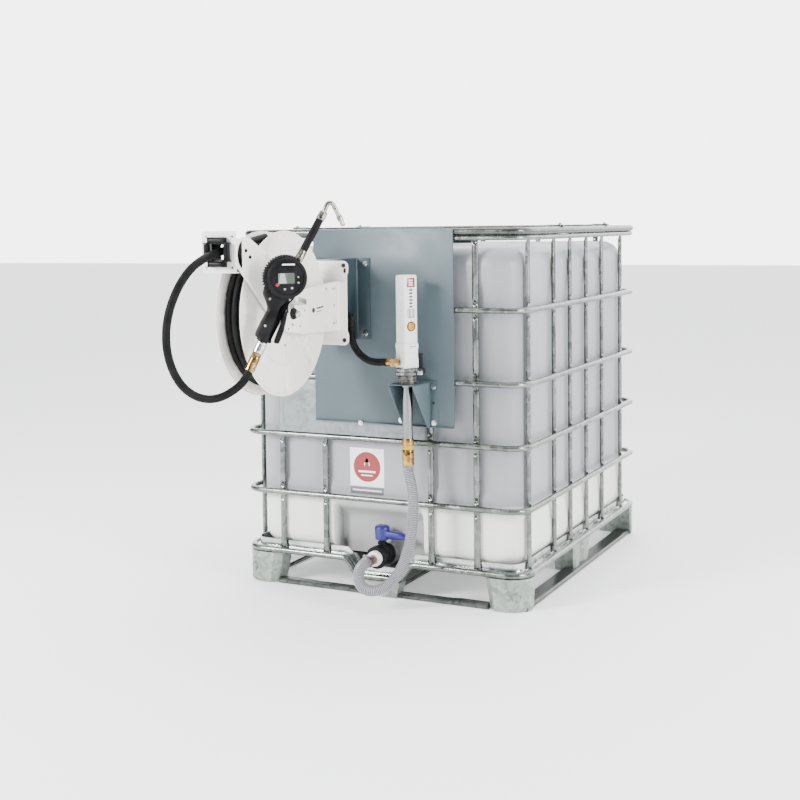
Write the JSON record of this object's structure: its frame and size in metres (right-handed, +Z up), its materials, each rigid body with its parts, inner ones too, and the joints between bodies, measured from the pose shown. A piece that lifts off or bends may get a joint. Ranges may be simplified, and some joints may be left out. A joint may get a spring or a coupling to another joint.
{
  "type": "intermediate bulk container",
  "caption": "Caged plastic bulk container on a steel pallet, with a front plate carrying a hose reel, dispensing gun and drum pump.",
  "frame": {"origin": "on the floor, under the middle of the pallet's centre foot", "axes": "+Z up, outlet valve and dispensing kit towards -Y, +X to the right as seen from the front"},
  "size_m": [1.0032, 2.0685, 1.2412],
  "materials": {
    "galvanised_steel": "galvanised",
    "bottle_plastic": "satin moulded",
    "cap_plastic": "matt moulded",
    "valve_plastic": "matt moulded",
    "lever_plastic": "satin moulded",
    "adapter_brass": "machined",
    "kit_paint": "satin paint",
    "reel_paint": "semi-gloss paint",
    "pump_paint": "semi-gloss paint",
    "bright_steel": "turned, bright",
    "hose_rubber": "matt",
    "suction_pvc": "ribbed PVC",
    "roller_plastic": "matt moulded",
    "gun_black": "satin",
    "swivel_metal": "machined",
    "button_red": "moulded"
  },
  "bodies": {
    "container": {"bottle": "bottle_plastic", "cage_bar_back_1": "galvanised_steel", "cage_bar_back_2": "galvanised_steel", "cage_bar_back_3": "galvanised_steel", "cage_bar_back_4": "galvanised_steel", "cage_bar_front_1": "galvanised_steel", "cage_bar_front_2": "galvanised_steel", "cage_bar_front_3": "galvanised_steel", "cage_bar_front_4": "galvanised_steel", "cage_bar_left_1": "galvanised_steel", "cage_bar_left_2": "galvanised_steel", "cage_bar_left_3": "galvanised_steel", "cage_bar_left_4": "galvanised_steel", "cage_bar_left_5": "galvanised_steel", "cage_bar_left_6": "galvanised_steel", "cage_bar_right_1": "galvanised_steel", "cage_bar_right_2": "galvanised_steel", "cage_bar_right_3": "galvanised_steel", "cage_bar_right_4": "galvanised_steel", "cage_bar_right_5": "galvanised_steel", "cage_bar_right_6": "galvanised_steel", "cage_crossbar_back": "galvanised_steel", "cage_crossbar_front": "galvanised_steel", "cage_ring_1": "galvanised_steel", "cage_ring_2": "galvanised_steel", "cage_ring_3": "galvanised_steel", "cage_ring_4": "galvanised_steel", "cage_top_rim": "galvanised_steel", "delivery_hose": "hose_rubber", "feed_hose": "hose_rubber", "guide_arm": "reel_paint", "gun_body": "gun_black", "gun_spout": "bright_steel", "hose_adapter": "adapter_brass", "label_plate": "galvanised_steel", "pallet_pan": "galvanised_steel", "pallet_runner_left": "galvanised_steel", "pallet_runner_middle": "galvanised_steel", "pallet_runner_right": "galvanised_steel", "pallet_skid_back": "galvanised_steel", "pallet_skid_front": "galvanised_steel", "pump_body": "pump_paint", "pump_bracket": "kit_paint", "reel_base": "reel_paint", "reel_bracket": "kit_paint", "suction_hose": "suction_pvc", "suction_tube": "bright_steel", "valve_body": "valve_plastic", "wall_plate": "kit_paint"},
    "valve_lever": {"valve_lever": "lever_plastic"},
    "filler_cap": {"filler_cap": "cap_plastic"},
    "reel_drum": {"reel_drum": "reel_paint", "wound_hose": "hose_rubber"},
    "guide_roller_top": {"guide_roller_top": "roller_plastic"},
    "guide_roller_bottom": {"guide_roller_bottom": "roller_plastic"},
    "guide_roller_left": {"guide_roller_left": "roller_plastic"},
    "guide_roller_right": {"guide_roller_right": "roller_plastic"},
    "gun_trigger": {"gun_trigger": "gun_black"},
    "meter_button": {"meter_button": "button_red"},
    "gun_swivel": {"gun_swivel": "swivel_metal"}
  },
  "joints": [
    {"name": "valve_turn", "type": "hinge", "parent": "container", "child": "valve_lever", "pos_m": [0, -0.56, 0.126], "axis": [0, 0, -1], "range_deg": [0, 90]},
    {"name": "cap_lift", "type": "slide", "parent": "container", "child": "filler_cap", "axis": [0, 0, 1], "range_m": [0, 0.12]},
    {"name": "drum_spin", "type": "hinge", "parent": "container", "child": "reel_drum", "pos_m": [-0.126, -0.985, 0.921], "axis": [1, 0, 0], "continuous": true},
    {"name": "roller_top_spin", "type": "hinge", "parent": "container", "child": "guide_roller_top", "pos_m": [-0.126, -1.27, 1.136], "axis": [1, 0, 0], "continuous": true},
    {"name": "roller_bottom_spin", "type": "hinge", "parent": "container", "child": "guide_roller_bottom", "pos_m": [-0.126, -1.27, 1.072], "axis": [1, 0, 0], "continuous": true},
    {"name": "roller_left_spin", "type": "hinge", "parent": "container", "child": "guide_roller_left", "pos_m": [-0.158, -1.27, 1.104], "axis": [0, 0, 1], "continuous": true},
    {"name": "roller_right_spin", "type": "hinge", "parent": "container", "child": "guide_roller_right", "pos_m": [-0.094, -1.27, 1.104], "axis": [0, 0, 1], "continuous": true},
    {"name": "trigger_pull", "type": "hinge", "parent": "container", "child": "gun_trigger", "pos_m": [0.01059, -1.15141, 0.944], "axis": [-0.7071, 0.7071, 0], "range_deg": [0, 8], "stiffness_Nm_per_rad": 0.6, "springref_deg": -8.59},
    {"name": "button_press", "type": "slide", "parent": "container", "child": "meter_button", "axis": [-0.7071, 0.7071, 0], "range_m": [0, 0.0015], "stiffness_N_per_m": 300, "springref_m": -0.001},
    {"name": "swivel_spin", "type": "hinge", "parent": "container", "child": "gun_swivel", "pos_m": [-0.06083, -1.22283, 0.781], "axis": [0.3162, 0.3162, 0.8944], "continuous": true}
  ]
}
